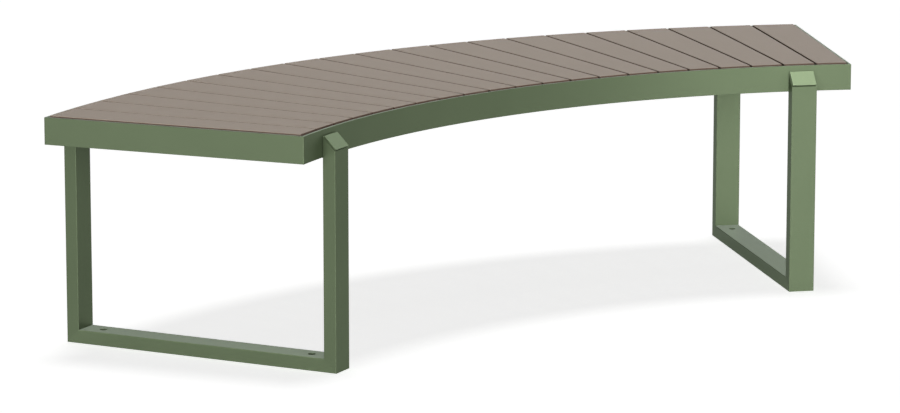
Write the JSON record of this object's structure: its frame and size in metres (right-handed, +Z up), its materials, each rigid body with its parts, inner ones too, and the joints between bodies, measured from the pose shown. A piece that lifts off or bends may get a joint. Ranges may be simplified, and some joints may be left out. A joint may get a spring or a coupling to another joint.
{
  "type": "curved garden bench",
  "caption": "Backless garden bench with a ring-sector seat of tapered composite slats in a steel rim, on two leg frames of rectangular tube.",
  "frame": {"origin": "middle of the bench's footprint, on the ground", "axes": "+X along the bench's length, to the right of someone who faces the concave side; +Y from the concave side to the convex side; +Z up"},
  "size_m": [1.8112, 0.6858, 0.4425],
  "materials": {
    "green_coat": "satin sage-green powder coat with a fine texture",
    "slat_composite": "matt taupe wood composite, brushed along the slat",
    "screw_steel": "plain stainless steel"
  },
  "bodies": {
    "root": {"inner_rim": "green_coat", "outer_rim": "green_coat", "left_end_band": "green_coat", "right_end_band": "green_coat", "inner_ledge": "green_coat", "outer_ledge": "green_coat", "middle_bearer": "green_coat", "left_cross_rail": "green_coat", "middle_left_cross_rail": "green_coat", "middle_right_cross_rail": "green_coat", "right_cross_rail": "green_coat", "left_foot_rail": "green_coat", "left_inner_post": "green_coat", "left_inner_post_cap": "green_coat", "left_outer_post": "green_coat", "left_outer_post_cap": "green_coat", "right_foot_rail": "green_coat", "right_inner_post": "green_coat", "right_inner_post_cap": "green_coat", "right_outer_post": "green_coat", "right_outer_post_cap": "green_coat", "slat_01": "slat_composite", "slat_02": "slat_composite", "slat_03": "slat_composite", "slat_04": "slat_composite", "slat_05": "slat_composite", "slat_06": "slat_composite", "slat_07": "slat_composite", "slat_08": "slat_composite", "slat_09": "slat_composite", "slat_10": "slat_composite", "slat_11": "slat_composite", "slat_12": "slat_composite", "slat_13": "slat_composite", "slat_14": "slat_composite", "slat_15": "slat_composite", "slat_16": "slat_composite", "slat_17": "slat_composite", "slat_18": "slat_composite", "slat_19": "slat_composite", "slat_20": "slat_composite", "slat_21": "slat_composite"}
  },
  "joints": []
}
